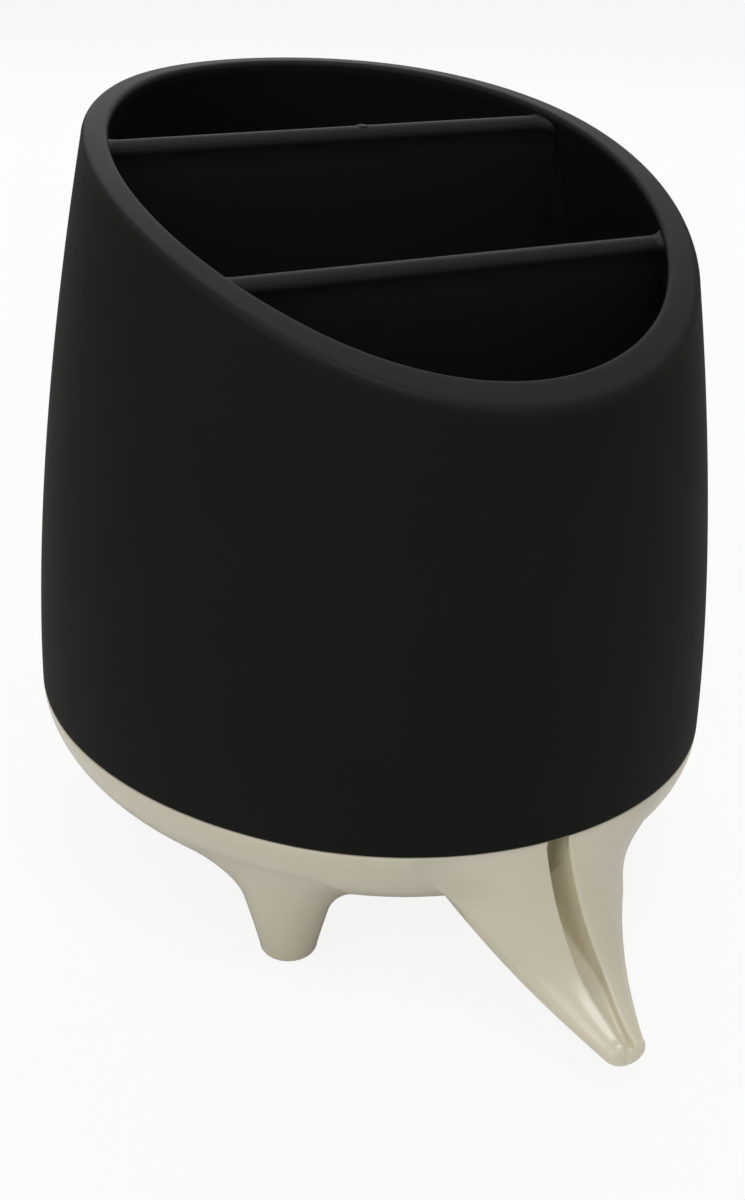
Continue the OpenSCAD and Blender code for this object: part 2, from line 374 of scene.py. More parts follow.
@dataclass(frozen=True)
class MouldedPlastic:
    """Finish of a moulded plastic piece: body colour, gloss, fine grain and handling.

    The mesh's tone blends in a second colour and roughness. On the black pieces it is the edges that hands keep
    smooth, with a coat's gleam, and the second colour there is lighter and bluer as a painted highlight. On the
    base it is the inside of the bowl, the slot and the channel, where the second colour is darker and yellower as
    painted shade and an emission adds a painted glow. A tone below 0 is the painted glow alone.
    """

    name: str
    colour: Triple
    second_colour: Triple
    roughness: float
    second_roughness: float
    specular: float
    grain_size: float
    grain_depth: float
    mottle: float
    scuff: float
    coat: float = 0.0
    coat_roughness: float = 0.35
    glow: float = 0.0
    subsurface: float = 0.0
    bleed: float = 2.0
    bleed_tint: Triple = (1.0, 0.85, 0.6)

    def material(self, groups: "EffectGroups") -> bpy.types.Material:
        """Builds the node material.

        Args:
            groups: shared effects.

        Returns:
            The material, with grain and handling read on Object coordinates and the tone from the mesh.
        """
        made = bpy.data.materials.new(self.name)
        made.use_nodes = True
        tree = made.node_tree
        place = add_node(tree, "TexCoord").outputs["Object"]
        grain = add_node(tree, "Group", {"Vector": place, "Size": self.grain_size}, node_tree=groups.grain)
        handling = add_node(tree, "Group", {"Vector": place, "Amount": self.scuff}, node_tree=groups.handling)
        second = add_node(tree, "Attribute", attribute_name="tone").outputs["Fac"]
        level = add_node(tree, "MapRange", {
            "Value": grain.outputs["Mottle"], "To Min": 1 - self.mottle, "To Max": 1 + self.mottle})
        # body colour with the second colour blended in by the tone: painted highlight on the black pieces, painted
        # shade on the base
        body = blend(tree, second, self.colour, self.second_colour)
        shade = add_node(tree, "HueSaturation", {"Value": level.outputs["Result"], "Color": body})
        gloss = add_node(tree, "Mix", {"Factor": second, "A": self.roughness, "B": self.second_roughness})
        rough = reckon(tree, "ADD", gloss.outputs["Result"], handling.outputs["Roughness"])
        bump = add_node(tree, "Bump", {"Distance": self.grain_depth * MM, "Height": grain.outputs["Height"]})
        shader = feed(tree, tree.nodes["Principled BSDF"], {
            "Base Color": shade.outputs["Color"], "Roughness": rough, "Normal": bump.outputs["Normal"],
            "Specular IOR Level": self.specular, "Subsurface Weight": self.subsurface,
            "Subsurface Radius": self.bleed_tint, "Subsurface Scale": self.bleed * MM})
        if self.coat:
            gleam = reckon(tree, "MULTIPLY", second, self.coat)
            feed(tree, shader, {"Coat Weight": gleam, "Coat Roughness": self.coat_roughness})
        # painted glow: an emission of the second colour by the size of the tone, bright whatever the lamps
        if self.glow:
            painted_glow = blend(tree, reckon(tree, "ABSOLUTE", second), (0.0, 0.0, 0.0), self.second_colour)
            feed(tree, shader, {"Emission Color": painted_glow, "Emission Strength": self.glow})
        return made


class EffectGroups:
    """Shader node groups that all finishes share."""

    GRAIN_DETAIL = 3.0
    MOTTLE_PER_METRE = 45.0
    MOTTLE_DETAIL = 4.0
    SMEAR_TURN = (0.5, 0.3, 0.9)
    SMEAR_STRETCH = (30.0, 120.0, 55.0)
    SMEAR_DETAIL = 5.0
    SMEAR_MIDDLE = 0.5

    def __init__(self) -> None:
        """Builds the groups once."""
        self.grain = self.make_grain()
        self.handling = self.make_handling()

    @staticmethod
    def start(name: str, amount: str, outputs: list[str]) -> tuple[Tree, Node, Node]:
        """Starts a group that reads coordinates and one number.

        Args:
            name: name of the group.
            amount: name of the number's input.
            outputs: names of the value outputs.

        Returns:
            The group, its input node and its output node.
        """
        group = bpy.data.node_groups.new(name, "ShaderNodeTree")
        sockets = [("Vector", "INPUT", "NodeSocketVector"), (amount, "INPUT", "NodeSocketFloat")]
        sockets += [(label, "OUTPUT", "NodeSocketFloat") for label in outputs]
        for label, side, kind in sockets:
            group.interface.new_socket(label, in_out=side, socket_type=kind)
        return group, group.nodes.new("NodeGroupInput"), group.nodes.new("NodeGroupOutput")

    @staticmethod
    def noise(group: Tree, place: Socket, scale: Given, detail: float) -> Socket:
        """Adds a noise texture with so many finer layers, and returns its value's socket."""
        return add_node(group, "TexNoise", {"Vector": place, "Scale": scale, "Detail": detail}).outputs["Fac"]

    def make_grain(self) -> Tree:
        """Fine mould grain as a height, and a slow mottle of the colour.

        Returns:
            The group.
        """
        group, given, out = self.start("mould_grain", "Size", ["Height", "Mottle"])
        place = given.outputs["Vector"]
        per_metre = reckon(group, "DIVIDE", 1.0 / MM, given.outputs["Size"])
        feed(group, out, {"Height": self.noise(group, place, per_metre, self.GRAIN_DETAIL),
                          "Mottle": self.noise(group, place, self.MOTTLE_PER_METRE, self.MOTTLE_DETAIL)})
        return group

    def make_handling(self) -> Tree:
        """Faint smears and rub marks as a change of roughness about zero.

        Returns:
            The group.
        """
        group, given, out = self.start("handling", "Amount", ["Roughness"])
        stretch = add_node(group, "Mapping", {
            "Vector": given.outputs["Vector"], "Rotation": self.SMEAR_TURN, "Scale": self.SMEAR_STRETCH})
        smear = self.noise(group, stretch.outputs["Vector"], 1.0, self.SMEAR_DETAIL)
        centred = reckon(group, "SUBTRACT", smear, self.SMEAR_MIDDLE)
        feed(group, out, {"Roughness": reckon(group, "MULTIPLY", centred, given.outputs["Amount"])})
        return group


@dataclass
class CupWall:
    """The cup's one wall, with its lip, foot edge and the groove for the strainer floor."""

    form: CupForm
    columns: int = 288
    outer_lip: float = 1.4
    inner_lip: float = 1.0
    foot_round: float = 0.5
    foot_chamfer: float = 0.3
    groove_inset: float = 2.2
    groove_top: float = 8.15
    groove_bottom: float = 4.85
    foot_rows: int = 7
    outside_rows: int = 64
    outer_lip_rows: int = 12
    top_rows: int = 6
    inner_lip_rows: int = 8
    inside_rows: int = 56

    def column(self, angle: Array) -> Points:
        """Profile of every column as inset and height, from the foot up the outside, over the lip and down.

        The foot's edge and the lip's two edges are quarter circles. The outside follows the taper, and the
        inside follows it at the wall's thickness.

        Args:
            angle: direction of each column, shape (1, columns).

        Returns:
            Inset, height and tone, each of shape (rows, columns).
        """
        form, place = self.form, self.form.oval.point
        outer_top = form.rim_on(angle, form.drawn_in) - self.outer_lip
        lip_out = form.drawn_in(outer_top)
        inner_rim = form.rim_on(angle, lambda z: form.inside_on(angle, z))
        lip_in = form.inside_on(angle, inner_rim)

        def on_lip(inset: Array, drop: Array | float = 0.0) -> tuple[Array, Array]:
            """Inset with the height of the rim there, less a drop."""
            return inset, form.rim(place(angle, inset)[1]) - drop

        out, up = quarter(self.foot_rows)
        foot = self.foot_round * up, self.foot_round * out
        rise = mix(self.foot_round, outer_top, steps(self.outside_rows)[1:])
        outside = form.drawn_in(rise), rise
        out, up = (part[1:] for part in quarter(self.outer_lip_rows))
        outer_edge = on_lip(lip_out + self.outer_lip * out, self.outer_lip * up)
        flat = steps(self.top_rows)[1:-1]
        top = on_lip(mix(lip_out + self.outer_lip, lip_in - self.inner_lip, flat))
        out, up = (part[::-1] for part in quarter(self.inner_lip_rows))
        inner_edge = on_lip(lip_in - self.inner_lip * out, self.inner_lip * up)
        fall = mix(inner_rim - self.inner_lip, self.groove_top, steps(self.inside_rows)[1:])
        inside = form.inside_on(angle, fall), fall
        groove = np.hsplit(np.array([
            [self.groove_inset, self.groove_top], [self.groove_inset, self.groove_bottom],
            [form.wall, self.groove_bottom], [form.wall, self.foot_chamfer],
            [form.wall + self.foot_chamfer, 0.0]]), 2)
        blocks = [foot, outside, outer_edge, top, inner_edge, inside, groove]
        inset, height = (stacked(part, self.columns) for part in zip(*blocks))
        # tone 1 on the lip's top, fading down its outer edge: where the lip's painted highlight and smoother finish
        # go
        below = form.rim(place(angle, inset)[1]) - height
        return inset, height, np.clip(1 - below / self.outer_lip, 0, 1)

    def build(self) -> Piece:
        """Sweeps the columns round the plan and closes the ring.

        Returns:
            The piece, on the cup.
        """
        angle = directions(self.columns)
        inset, height, tone = self.column(angle)
        x, y = self.form.oval.point(angle, inset)
        shell = Shell()
        shell.grid((x, y, height), wrap_rows=True, wrap_columns=True, tone=tone)
        piece = shell.piece("cup_wall")
        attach(piece, Body.CUP.value)
        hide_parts("cup_shell")
        return piece


@dataclass
class Divider:
    """Upright panel across the cup whose round top runs into the lip at both ends."""

    form: CupForm
    node: str
    y: float
    gate_x: float | None = None
    half_t: float = 1.5
    bead_r: float = 1.85
    crest_drop: float = 1.4
    end_rise: float = 0.15
    end_reach: float = 3.0
    end_fade: int = 4
    flare: float = 2.4
    flare_rounds: int = 4
    foot_z: float = 7.9
    sunk: float = 0.8
    stations: int = 141
    crowding: float = 3.2
    face_rows: int = 30
    bead_rows: int = 25
    gate_r: float = 1.1
    gate_h: float = 0.2
    gate_curve: float = 0.7
    gate_root: float = 1.0
    gate_rows: int = 8
    gate_columns: int = 24

    def crest(self) -> float:
        """Height of the bead's crest between the ends."""
        return self.form.rim(self.y) - self.crest_drop

    def surface(self) -> tuple[Points, Array]:
        """Panel as a grid of section points by stations along its length.

        The section runs up one face, round a bead that stands a little proud of both faces and down the
        other. A station's half thickness grows by a quarter circle as it comes near the wall. Its crest rises
        a little there, with the slope of the lip. Stations crowd towards both ends by a hyperbolic tangent.

        Returns:
            x, y and z of shape (section, stations), and the tone of the crest, which carries its painted highlight.
        """
        form = self.form
        along = np.tanh(self.crowding * np.linspace(-1, 1, self.stations))[None, :] / math.tanh(self.crowding)
        neck = math.acos(self.half_t / self.bead_r)
        turn = -neck + steps(self.bead_rows) * (math.pi + 2 * neck)
        up = steps(self.face_rows)[:-1]
        bulge = self.bead_r / self.half_t
        side = np.concatenate([np.full_like(up, -1), -np.cos(turn) * bulge, np.full_like(up, 1)])
        level = np.concatenate([up, np.ones_like(turn), up[::-1]])
        crown = np.concatenate([0 * up, np.sin(turn) + math.sin(neck), 0 * up]) * self.bead_r
        neck_z = self.crest() - self.bead_r * (1 + math.sin(neck))
        z = mix(self.foot_z, neck_z, level) + crown
        wall = form.inside(self.y, z)
        x = along * (form.oval.half_width(self.y, wall) + self.sunk)
        half = np.full(x.shape, self.half_t)
        for _ in range(self.flare_rounds):
            y = self.y + side * half
            gap = np.clip(form.oval.inset(x, y) - form.inside(y, z), 0, self.flare)
            half = self.half_t + self.flare - np.sqrt(self.flare**2 - (self.flare - gap) ** 2)
        y = self.y + side * half
        gap = form.oval.inset(x, np.full_like(x, self.y)) - wall
        near = np.clip(1 - gap / self.end_reach, 0, 1) ** 2
        lift = near * (self.end_rise + form.rim(y) - form.rim(self.y))
        height = (z - self.foot_z) / (self.crest() - self.foot_z)
        # the crest's tone: full over the bead's upper part and fading down its sides, where the painted highlight
        # goes
        return (x, y, z + lift * height**self.end_fade), np.minimum(2 * crown / crown.max(), 1) + 0 * x

    def gate_mark(self) -> Points:
        """Low round nub left by the moulding gate: a quarter wave turned about an upright axis.

        Returns:
            x, y and z of shape (rows, columns), closed below inside the bead.
        """
        share, turn = steps(self.gate_rows), directions(self.gate_columns)
        rise = self.gate_h * np.cos(share * QUARTER) ** self.gate_curve
        height = self.crest() + np.vstack([rise, [[-self.gate_root]], [[-self.gate_root]]])
        radius = np.vstack([share, [[1.0]], [[0.0]]]) * self.gate_r
        return self.gate_x + radius * np.cos(turn), self.y + radius * np.sin(turn), height

    def build(self) -> Piece:
        """Makes the panel, closed at both ends inside the wall, with its gate mark where it has one.

        Returns:
            The piece, on the cup.
        """
        surface, tone = self.surface()
        shell = Shell()
        shell.grid(surface, wrap_rows=True, tone=tone)
        for end in (0, -1):
            rim = [axis[:, end] for axis in surface]
            hub = [np.full_like(axis, axis.mean()) for axis in rim]
            shell.grid(tuple(np.stack(pair) for pair in zip(rim, hub)), wrap_columns=True)
        if self.gate_x is not None:
            # the gate mark gets the crest's painted highlight in full
            shell.grid(self.gate_mark(), wrap_columns=True, tone=1.0)
        piece = shell.piece(self.node + "_panel")
        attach(piece, Body.CUP.value)
        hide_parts(self.node)
        return piece


@dataclass
class Bowl:
    """Drip bowl on the oval plan, with the spigot for the cup and the slot that lets the water out."""

    oval: Oval
    depth: float = 18.0
    side_in: float = 20.0
    curve: float = 1.85
    inside_depth: float = 15.4
    front: float = 74.5
    edge_round: float = 0.4
    spigot_outer: float = 3.4
    spigot_inner: float = 5.4
    spigot_h: float = 4.6
    spigot_round: float = 0.4
    slot_half: float = 2.3
    slot_from: float = 12.6
    columns: int = 240
    flat_rows: int = 7
    side_rows: int = 44
    edge_rows: int = 6
    shade_rows: int = 6
    sill_rows: int = 9

    def drop(self, inset: Array, depth: float) -> Array:
        """Height of the bowl's side at an inset: a full superellipse from the rim down to the flat belly."""
        share = np.clip(inset / self.side_in, 0, 1)
        return -depth * (1 - (1 - share) ** self.curve) ** (1 / self.curve)

    def underside(self, x: Array | float, y: Array | float) -> Array:
        """Height of the bowl's outside over points of the plan."""
        return self.drop(self.oval.inset(x, y), self.depth)

    def reach(self, x: Array, z: Array) -> Array:
        """Reach of the bowl's front from the cup's axis: the superellipse on the end arc of the plan.

        Args:
            x: place across.
            z: height.

        Returns:
            Reach along the spout line.
        """
        share = np.clip(-z / self.depth, 0, 1)
        inset = self.side_in * (1 - (1 - share**self.curve) ** (1 / self.curve))
        return self.oval.end_c + np.sqrt(np.maximum((self.oval.end_r - inset) ** 2 - x**2, 0))

    def side(self, depth: float, turn: Array) -> tuple[Array, Array]:
        """Inset and height of the side by its turn, 0 at the rim and a quarter at the belly."""
        power = 2 / self.curve
        return self.side_in * (1 - np.cos(turn) ** power), -depth * np.sin(turn) ** power

    def profile(self) -> Points:
        """Section from the middle of the belly out, up, over the spigot and down to the middle of the floor.

        Returns:
            Inset, height and the share by which a flat ring shrinks to the middle, each of shape (rows, 1).
        """
        start = (self.edge_round / self.depth) ** (self.curve / 2)
        outside = self.side(self.depth, mix(QUARTER, start, steps(self.side_rows)))
        out, up = (part[1:] for part in quarter(self.edge_rows))
        edge = outside[0][-1] + self.edge_round * out, -self.edge_round * up
        r, outer, inner, top = self.spigot_round, self.spigot_outer, self.spigot_inner, self.spigot_h
        ledge = np.hsplit(np.array([[outer - r, 0.0], [outer, 0.0], [outer, top - r]]), 2)
        rise = outer + r * out, top - r * up
        fall = inner - r * up, top - r * out
        down = np.full((1, 1), inner), np.full((1, 1), top / 2)
        inset, z = self.side(self.inside_depth, QUARTER * steps(self.side_rows))
        blocks = [outside, edge, ledge, rise, fall, down, (inset + inner, z)]
        inset, z = (np.concatenate(part) for part in zip(*blocks))
        flat = steps(self.flat_rows)[:-1]
        even = np.ones_like(flat)
        return (np.concatenate([self.side_in * even, inset, inset[-1] * even]),
                np.concatenate([-self.depth * even, z, -self.inside_depth * even]),
                np.concatenate([flat, np.ones_like(z), flat[::-1]]))

    def add(self, shell: Shell, spout: "Spout") -> None:
        """Adds the bowl to a shell: the swept section, open at the slot, and the slot's walls and floor.

        Args:
            shell: shell to add to.
            spout: spout whose channel sets the slot's floor.
        """
        inset, z, share = self.profile()
        rows = np.arange(len(inset))
        crown = int(np.argmax(z))
        cut = (share[:, 0] == 1) & ((rows > crown) | (inset[:, 0] < self.slot_from))
        half_angle = np.where(cut[:, None], np.arcsin(self.slot_half / (self.oval.end_r - inset)), 0.0)
        angle = half_angle - QUARTER + (2 * math.pi - 2 * half_angle) * steps(self.columns).T
        x, y = self.oval.point(angle, inset)
        skin = np.stack([x * share, y * share, np.broadcast_to(z, x.shape)], -1)
        # painted shade and glow: the tone rises to full inside the bowl, past the spigot's crown
        inside = np.clip((rows - crown) / self.shade_rows - 1, 0, 1)[:, None]
        shell.grid(tuple(np.moveaxis(skin, -1, 0)), tone=inside)
        first, last = rows[cut][0], rows[cut][-1]
        reach = -np.linspace(skin[last, 0, 1], skin[first, 0, 1], self.sill_rows)[1:-1]
        sill = np.stack([0 * reach, -reach, spout.channel_floor(reach)], -1)
        walls = []
        # the slot's walls, floor and end faces below get the full tone: painted shade and glow
        for column, sign in ((0, 1.0), (-1, -1.0)):
            edge = skin[first:last + 1, column]
            floor = sill + [sign * self.slot_half, 0, 0]
            shell.polygon(np.concatenate([edge, floor]), tone=1.0)
            walls.append(np.concatenate([edge[-1:], floor, edge[:1]]))
        shell.grid(tuple(np.moveaxis(np.stack(walls, 1), -1, 0)), tone=1.0)
        for row, beyond in ((first, first - 1), (last, last + 1)):
            shell.polygon(np.stack([skin[row, 0], skin[row, -1], skin[beyond, 0]]), tone=1.0)


@dataclass
class Leg:
    """Peg leg with a rounded foot that flows into the bowl."""

    foot_d: float = 10.5
    top_d: float = 20.0
    height: float = 18.0
    curve: float = 1.1
    foot_round: float = 1.5
    fillet: float = 8.0
    rim_margin: float = 2.0
    sunk: float = 0.03
    closing: float = 1.0
    beyond: float = 80.0
    halvings: int = 40
    slope_step: float = 0.05
    columns: int = 96
    sole_rows: int = 4
    foot_rows: int = 8
    flank_rows: int = 16
    join_rows: int = 22

    def radius(self, z: Array | float) -> Array:
        """Radius at height z above the table, a power of the height."""
        return mix(self.foot_d, self.top_d, (z / self.height) ** self.curve) / 2

    def halve(self, gap: Callable[[Array], Array], turn: Array, reach: float) -> Array:
        """Radius in each direction where a gap comes down to zero.

        Args:
            gap: gap at each radius, above zero near the leg's axis.
            turn: directions, shape (1, columns).
            reach: radius that is surely beyond.

        Returns:
            Radii of the same shape as turn.
        """
        low, high = np.zeros_like(turn), np.full_like(turn, reach)
        for _ in range(self.halvings):
            middle = (low + high) / 2
            short = gap(middle) > 0
            low, high = np.where(short, middle, low), np.where(short, high, middle)
        return low

    def surface(self, bowl: Bowl, x: float, y: float) -> Points:
        """Leg as a grid of heights by directions about its axis.

        In each direction the leg's flank and the bowl's outside meet at one radius, found by halving. A
        cubic curve that leaves the flank below that point and runs into the bowl beyond it, along the slope
        of each, joins the two. The foot's edge is a quarter circle, and both ends close in a point.

        Args:
            bowl: bowl that the leg stands under.
            x: place of the axis across the spout line.
            y: place of the axis along it.

        Returns:
            x, y and z of shape (rows, columns).
        """
        turn = directions(self.columns)

        def belly(r: Array) -> Array:
            """Height of the bowl's outside above the table at radius r from the axis."""
            return bowl.underside(x + r * np.cos(turn), y + r * np.sin(turn)) + SEAT_Z

        def edge_gap(r: Array) -> Array:
            """How far the plan's edge is from radius r, less the margin that the join keeps to it."""
            return bowl.oval.inset(x + r * np.cos(turn), y + r * np.sin(turn)) - self.rim_margin

        meet = self.halve(lambda r: self.radius(belly(r)) - r, turn, self.top_d)
        begin_z = belly(meet) - self.fillet
        begin_r = self.radius(begin_z)
        end_r = np.minimum(meet + self.fillet, self.halve(edge_gap, turn, self.beyond))
        end_z = belly(end_r)
        step = self.slope_step
        lean = (self.radius(begin_z + step) - self.radius(begin_z - step)) / (2 * step)
        climb = (belly(end_r + step) - belly(end_r - step)) / (2 * step)
        chord = np.hypot(end_r - begin_r, end_z - begin_z)
        away, along = chord / np.hypot(1, lean), chord / np.hypot(1, climb)
        foot_r = self.radius(self.foot_round)
        out, up = quarter(self.foot_rows)
        foot = foot_r - self.foot_round * up, self.foot_round * out
        flank_z = mix(self.foot_round, begin_z, steps(self.flank_rows)[1:])
        t = steps(self.join_rows)[1:]
        first, last, ease = t * (1 - t) ** 2, t**2 * (t - 1), smooth(t)
        join_r = mix(begin_r, end_r, ease) + first * away * lean + last * along
        join_z = mix(begin_z, end_z + self.sunk, ease) + first * away + last * along * climb
        top = bowl.underside(x, y) + SEAT_Z + self.closing
        sole = steps(self.sole_rows)[:-1] * (foot_r - self.foot_round)
        blocks = [(sole, 0 * sole), foot, (self.radius(flank_z), flank_z), (join_r, join_z),
                  (np.zeros((1, 1)), np.full((1, 1), top))]
        r, z = (stacked(part, self.columns) for part in zip(*blocks))
        return x + r * np.cos(turn), y + r * np.sin(turn), z - SEAT_Z


@dataclass
class Spout:
    """Spout that leaves the bowl's front and narrows to a blunt tip, with the drain channel along its ridge.

    Its rails are quadratic curves of reach from the cup's axis and height, each as start, lead and end.
    """

    ridge: Rail = ((74.5, -0.3), (79.7, -17.94), (99.3, -26.0))
    edge: Rail = ((70.27, -0.3), (71.05, -22.4), (99.3, -28.6))
    keel: Rail = ((54.5, -17.4), (82.56, -22.62), (99.3, -31.0))
    channel: Rail = ((49.1, -15.4), (79.7, -17.16), (99.3, -28.6))
    root_w: float = 45.0
    root_spread: float = 5.0
    spread_fade: float = 1.5
    root_full: float = 3.5
    root_reach: float = 60.5
    root_step: float = 0.25
    root_top: float = 0.5
    root_clear: float = 0.04
    sunk: float = 0.3
    free_from: float = 0.02
    free_to: float = 0.4
    tip_w: float = 8.0
    tip_mid_z: float = -29.4
    nose: float = 1.7
    nose_at: float = 0.985
    nose_share: float = 0.3
    channel_half: float = 2.3
    tip_channel_half: float = 1.0
    tip_channel_depth: float = 1.4
    narrow_from: float = 0.62
    channel_round: float = 0.5
    tip_channel_round: float = 0.6
    channel_corner: float = 0.6
    edge_cos: float = 0.28
    # share of the length over which the channel's painted shade and glow fade out
    channel_shade_to: float = 0.9
    # share of the length where the tip's painted glow begins
    tip_glow_from: float = 0.5
    stations: int = 72
    crowding: float = 1.2
    nose_stations: int = 7
    root_stations: int = 4
    edge_rows: int = 6
    flank_rows: int = 24
    lip_rows: int = 6
    wall_rows: int = 9
    corner_rows: int = 5
    floor_rows: int = 4

    @staticmethod
    def rail(points: Rail, t: Array) -> tuple[Array, Array]:
        """Reach and height of a rail at share t of its length."""
        return tuple(bend(*axis, t) for axis in zip(*points))

    def channel_floor(self, reach: Array) -> Array:
        """Height of the channel's floor at a reach: the rail's share is the root of its quadratic.

        Args:
            reach: distance from the cup's axis.

        Returns:
            Heights of the same shape.
        """
        (start, _), (lead, _), (end, _) = self.channel
        square, slope = start - 2 * lead + end, 2 * (lead - start)
        within = np.clip(reach, start, end)
        share = (-slope + np.sqrt(slope**2 - 4 * square * (start - within))) / (2 * square)
        return self.rail(self.channel, share)[1]

    def half_ring(self, bowl: Bowl, t: Array, shrink: Array) -> list[Ring]:
        """Right half of every ring, from its outer edge to the middle of the channel.

        Above, a point at x lies between the edge rail and the ridge rail by a power of the cosine whose sine
        is x over the half width. Below, it lies between the edge rail and the keel rail by the cosine itself.
        A quadratic curve rounds the edge where both meet. Near the root the arch is instead a swelling of the
        bowl's own front that ends flush with it, and it comes free of the bowl by a smooth step. The channel's
        lip is a quarter circle square to the ridge, its walls drop straight to its floor, and small quarter
        circles fill the corners. By a smooth step it gets narrower, shallower and rounder towards the tip.

        Args:
            bowl: bowl that the spout leaves.
            t: share of the length of each ring, shape (rings, 1).
            shrink: how far each ring is drawn in about the middle of the tip.

        Returns:
            Blocks of x, upper reach, upper height, lower reach and lower height, each of shape (rings, points).
        """
        free = smooth((t - self.free_from) / (self.free_to - self.free_from))
        under_half = mix(self.root_w, self.tip_w, t) / 2 * shrink
        half = under_half + self.root_spread * (1 - free) ** self.spread_fade
        rails = [self.rail(points, t) for points in (self.ridge, self.edge, self.keel)]
        ridge, edge, keel = ((reach, mix(self.tip_mid_z, z, shrink)) for reach, z in rails)
        free_edge, flush = edge[0], bowl.reach(half, edge[1]) - self.sunk
        edge = mix(flush, free_edge, free), edge[1]

        def above(x: Array) -> tuple[Array, Array]:
            """Upper surface of the rings, without their channel.

            Args:
                x: places across.

            Returns:
                Reach and height.
            """
            share = np.minimum(x / half, 1)
            rise = np.sqrt(1 - share**2) ** (2 - t)
            height = mix(edge[1], ridge[1], rise)
            arch = mix(free_edge, ridge[0], rise)
            proud = ridge[0] - bowl.reach(0 * half, ridge[1])
            swelling = bowl.reach(x, height) + proud * (1 - share**self.root_full) ** 2
            return mix(swelling, arch, free), height

        def below(x: Array) -> tuple[Array, Array]:
            """Reach and height of the underside at x."""
            cosine = np.sqrt(np.maximum(1 - (x / under_half) ** 2, 0))
            return tuple(mix(side, middle, cosine) for side, middle in zip(edge, keel))

        def ring(x: Array, reach: Array, height: Array) -> Ring:
            """Block of upper points with the underside's points below them."""
            return x, reach + 0 * x, height + 0 * x, *below(x)

        round_x = half * math.sqrt(1 - self.edge_cos**2)
        # from the middle of the edge's curve to its end on the flank
        s = np.linspace(0.5, 0, self.edge_rows)[None, :-1]
        corners = list(zip(above(round_x), edge, below(round_x)))
        upper = [bend(high, lead, low, s) for high, lead, low in corners]
        lower = [bend(low, lead, high, s) for high, lead, low in corners]
        blocks = [(bend(round_x, half, round_x, s), *upper, *lower)]

        narrow = smooth((t - self.narrow_from) / (1 - self.narrow_from))
        wall_x = mix(self.channel_half, self.tip_channel_half, narrow)
        lip_x = np.minimum(wall_x + mix(self.channel_round, self.tip_channel_round, narrow), round_x)
        turn = mix(np.arcsin(round_x / half), np.arcsin(lip_x / half), steps(self.flank_rows).T)
        x = half * np.sin(turn)
        blocks.append(ring(x, *above(x)))

        (r0, z0), (r1, z1), (r2, z2) = self.ridge
        run = (1 - t) * (r1 - r0) + t * (r2 - r1)
        fall = (1 - t) * (z1 - z0) + t * (z2 - z1)
        out, up = (part[1:].T for part in quarter(self.lip_rows))
        x = wall_x + (lip_x - wall_x) * up
        sink = (lip_x - wall_x) * out / np.hypot(run, fall)
        lip_r, lip_z = above(x)
        lip_r, lip_z = lip_r + fall * sink, lip_z - run * sink
        blocks.append(ring(x, lip_r, lip_z))

        wall_r, wall_z = lip_r[:, -1:], lip_z[:, -1:]
        floor_z = self.channel_floor(wall_r)
        floor_z = np.minimum(mix(floor_z, wall_z - self.tip_channel_depth, narrow), wall_z)
        corner = np.minimum(self.channel_corner, wall_z - floor_z)
        z = mix(wall_z, floor_z + corner, steps(self.wall_rows)[1:].T)
        blocks.append(ring(wall_x + 0 * z, wall_r, z))
        out, up = (part[1:].T for part in quarter(self.corner_rows))
        blocks.append(ring(wall_x - corner * out, wall_r, floor_z + corner * up))
        x = (wall_x - corner) * (1 - steps(self.floor_rows)[1:].T)
        blocks.append(ring(x, wall_r, floor_z))
        return blocks

    def add(self, shell: Shell, bowl: Bowl) -> None:
        """Adds the spout to a shell: rings from inside the bowl's wall to the nose, closed at both ends.

        At the nose the rings are drawn in by a quarter circle and pushed forward. At the root their channel
        runs back under the bowl's slot while the rest stays inside the wall. The tone, painted shade and glow, is
        full in the channel's root and fades along it, less a smooth step towards the tip, which gets a painted glow
        alone.

        Args:
            shell: shell to add to.
            bowl: bowl whose outside the channel's walls run up to.
        """
        root_count = self.root_stations
        t = self.nose_at * np.vstack([steps(self.stations) ** self.crowding, np.ones((self.nose_stations, 1))])
        turn = np.vstack([np.zeros((self.stations, 1)), steps(self.nose_stations + 1)[1:] * QUARTER])
        push = self.nose * np.sin(turn)
        blocks = self.half_ring(bowl, t, 1 - self.nose_share * (1 - np.cos(turn)))
        x, up_r, up_z, low_r, low_z = (np.concatenate(part, 1) for part in zip(*blocks))
        up_r, low_r = up_r + push, low_r + push

        ends = np.cumsum([block[0].shape[1] for block in blocks])
        channel_from, wall_to = ends[1], ends[3]
        reach = mix(self.root_reach, up_r[:1, channel_from:], steps(root_count, closed=False))
        top = bowl.drop(bowl.front - reach[:, :1], bowl.depth) + self.root_top
        floor = self.channel_floor(reach[:, :1])
        fill = np.clip((up_z[:1, channel_from:] - up_z[:1, -1:]) / (up_z[0, channel_from] - up_z[0, -1]), 0, 1)
        whole = x, up_r, up_z, low_r, low_z
        root = [np.repeat(part[:1], root_count, 0) for part in whole]
        back = self.root_step * (root_count - np.arange(root_count))[:, None]
        root[1][:, :channel_from] -= back
        root[3] -= back
        root[1][:, channel_from:] = reach
        root[2][:, channel_from:] = mix(floor, top, fill)
        root[0][:, channel_from:wall_to] += self.root_clear

        halves = [np.vstack(pair) for pair in zip(root, whole)]
        ring_x, upper_r, upper_z, lower_r, lower_z = (
            np.hstack([half, sign * half[:, -2::-1]]) for half, sign in zip(halves, (-1, 1, 1, 1, 1)))
        both_x, both_r, both_z = (
            np.hstack([upper, lower[:, ::-1]])
            for upper, lower in ((ring_x, ring_x), (upper_r, lower_r), (upper_z, lower_z)))
